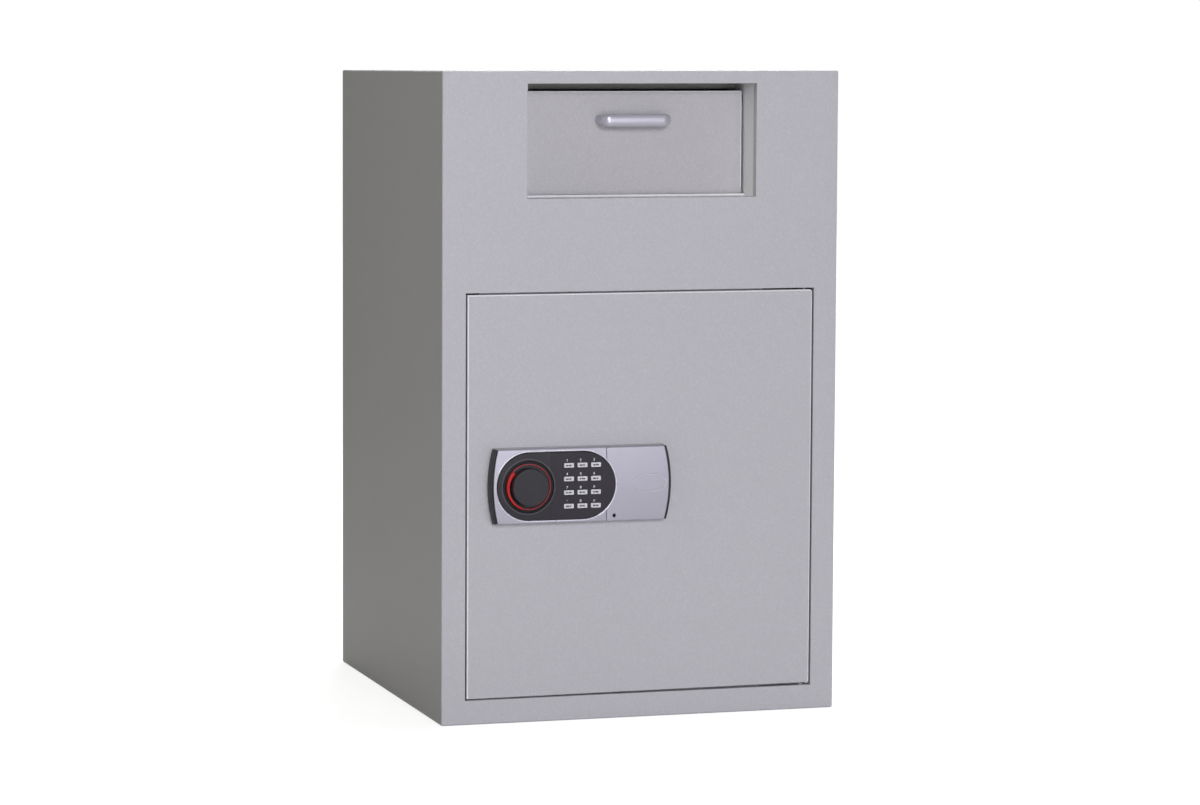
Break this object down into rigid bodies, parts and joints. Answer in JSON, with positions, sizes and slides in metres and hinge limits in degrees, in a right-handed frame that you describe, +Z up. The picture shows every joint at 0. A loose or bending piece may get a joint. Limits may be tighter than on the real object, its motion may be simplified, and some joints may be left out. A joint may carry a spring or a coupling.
{
  "type": "drop safe",
  "caption": "Front-loading drop safe with a tipping deposit drawer above a flush door with an electronic knob-and-keypad lock.",
  "frame": {"origin": "on the floor under the middle of the footprint, knob included", "axes": "+X to the right seen from the front, +Y from the front to the rear, +Z up"},
  "size_m": [0.57, 0.573, 0.89],
  "materials": {
    "body_paint": "fine textured powder coat, light grey, semi-matt",
    "sheet_steel": "grey primer on folded sheet",
    "bright_steel": "turned and polished steel",
    "dark_steel": "blued steel",
    "satin_metal": "satin anodised",
    "silver_plastic": "metallic silver paint on a plastic moulding",
    "black_plastic": "fine matt grain",
    "knob_plastic": "soft matt",
    "red_plastic": "satin red",
    "key_plastic": "silver-white",
    "rubber": "matt black",
    "board": "green solder mask",
    "brass": "turned brass"
  },
  "bodies": {
    "cabinet": {"cabinet_side_left": "body_paint", "cabinet_side_right": "body_paint", "cabinet_top": "body_paint", "cabinet_base": "body_paint", "cabinet_back": "body_paint", "front_top_strip": "body_paint", "front_side_left": "body_paint", "front_side_right": "body_paint", "front_cross_rail": "body_paint", "front_sill": "body_paint", "door_pivot_bottom": "bright_steel", "door_pivot_top": "bright_steel", "door_stop_bottom": "body_paint", "door_stop_top": "body_paint", "chute_side_left": "body_paint", "chute_side_right": "body_paint", "recess_floor": "body_paint", "recess_ceiling": "body_paint", "anti_fish_baffle": "sheet_steel", "chute_deck": "sheet_steel", "drawer_hinge_rod": "bright_steel", "drawer_bumper_left": "rubber", "drawer_bumper_right": "rubber"},
    "deposit_drawer": {"drawer_front": "body_paint", "drawer_tray": "sheet_steel", "drawer_cheek_left": "sheet_steel", "drawer_cheek_right": "sheet_steel", "drawer_pull": "satin_metal"},
    "door": {"door_slab": "body_paint", "door_inner_cover": "sheet_steel", "lock_solenoid": "dark_steel", "lock_mounting_plate": "sheet_steel", "keypad_housing": "black_plastic", "keypad_faceplate": "silver_plastic", "circuit_board": "board", "key_mat": "rubber", "battery_holder": "black_plastic"},
    "bolt_work": {"bolt_bar": "dark_steel", "locking_bolt_low": "bright_steel", "locking_bolt_middle": "bright_steel", "locking_bolt_high": "bright_steel"},
    "knob": {"lock_knob": "knob_plastic", "knob_ring": "red_plastic", "knob_spindle": "bright_steel"},
    "solenoid_plunger": {"solenoid_plunger": "bright_steel"},
    "battery_cover": {"battery_cover": "silver_plastic", "battery_cover_end": "black_plastic"},
    "emergency_lock_plug": {"emergency_lock_plug": "brass"},
    "key_1": {"key_1": "key_plastic"},
    "key_2": {"key_2": "key_plastic"},
    "key_3": {"key_3": "key_plastic"},
    "key_4": {"key_4": "key_plastic"},
    "key_5": {"key_5": "key_plastic"},
    "key_6": {"key_6": "key_plastic"},
    "key_7": {"key_7": "key_plastic"},
    "key_8": {"key_8": "key_plastic"},
    "key_9": {"key_9": "key_plastic"},
    "key_clear": {"key_clear": "key_plastic"},
    "key_0": {"key_0": "key_plastic"},
    "key_enter": {"key_enter": "key_plastic"}
  },
  "joints": [
    {"name": "drawer_tip", "type": "hinge", "parent": "cabinet", "child": "deposit_drawer", "pos_m": [0, -0.1985, 0.7237], "axis": [1, 0, 0], "range_deg": [0, 45]},
    {"name": "door_swing", "type": "hinge", "parent": "cabinet", "child": "door", "pos_m": [0.2385, -0.247, 0.3118], "axis": [0, 0, 1], "range_deg": [0, 100]},
    {"name": "knob_turn", "type": "hinge", "parent": "door", "child": "knob", "pos_m": [-0.1682, -0.27, 0.3268], "axis": [0, -1, 0], "range_deg": [0, 90]},
    {"name": "bolt_slide", "type": "slide", "parent": "door", "child": "bolt_work", "axis": [-1, 0, 0], "range_m": [0, 0.02]},
    {"name": "plunger_slide", "type": "slide", "parent": "door", "child": "solenoid_plunger", "axis": [0, 0, 1], "range_m": [0, 0.008]},
    {"name": "battery_cover_slide", "type": "slide", "parent": "door", "child": "battery_cover", "axis": [1, 0, 0], "range_m": [0, 0.07]},
    {"name": "emergency_plug_turn", "type": "hinge", "parent": "door", "child": "emergency_lock_plug", "pos_m": [-0.0308, -0.265, 0.3268], "axis": [0, -1, 0], "range_deg": [0, 90]},
    {"name": "key_1_press", "type": "slide", "parent": "door", "child": "key_1", "axis": [0, 1, 0], "range_m": [0, 0.001], "stiffness_N_per_m": 400, "springref_m": -0.0005},
    {"name": "key_2_press", "type": "slide", "parent": "door", "child": "key_2", "axis": [0, 1, 0], "range_m": [0, 0.001], "stiffness_N_per_m": 400, "springref_m": -0.0005},
    {"name": "key_3_press", "type": "slide", "parent": "door", "child": "key_3", "axis": [0, 1, 0], "range_m": [0, 0.001], "stiffness_N_per_m": 400, "springref_m": -0.0005},
    {"name": "key_4_press", "type": "slide", "parent": "door", "child": "key_4", "axis": [0, 1, 0], "range_m": [0, 0.001], "stiffness_N_per_m": 400, "springref_m": -0.0005},
    {"name": "key_5_press", "type": "slide", "parent": "door", "child": "key_5", "axis": [0, 1, 0], "range_m": [0, 0.001], "stiffness_N_per_m": 400, "springref_m": -0.0005},
    {"name": "key_6_press", "type": "slide", "parent": "door", "child": "key_6", "axis": [0, 1, 0], "range_m": [0, 0.001], "stiffness_N_per_m": 400, "springref_m": -0.0005},
    {"name": "key_7_press", "type": "slide", "parent": "door", "child": "key_7", "axis": [0, 1, 0], "range_m": [0, 0.001], "stiffness_N_per_m": 400, "springref_m": -0.0005},
    {"name": "key_8_press", "type": "slide", "parent": "door", "child": "key_8", "axis": [0, 1, 0], "range_m": [0, 0.001], "stiffness_N_per_m": 400, "springref_m": -0.0005},
    {"name": "key_9_press", "type": "slide", "parent": "door", "child": "key_9", "axis": [0, 1, 0], "range_m": [0, 0.001], "stiffness_N_per_m": 400, "springref_m": -0.0005},
    {"name": "key_clear_press", "type": "slide", "parent": "door", "child": "key_clear", "axis": [0, 1, 0], "range_m": [0, 0.001], "stiffness_N_per_m": 400, "springref_m": -0.0005},
    {"name": "key_0_press", "type": "slide", "parent": "door", "child": "key_0", "axis": [0, 1, 0], "range_m": [0, 0.001], "stiffness_N_per_m": 400, "springref_m": -0.0005},
    {"name": "key_enter_press", "type": "slide", "parent": "door", "child": "key_enter", "axis": [0, 1, 0], "range_m": [0, 0.001], "stiffness_N_per_m": 400, "springref_m": -0.0005}
  ],
  "couplings": [
    {"joint": "knob_turn", "follows": "bolt_slide", "rad_per_m": 78.539}
  ]
}
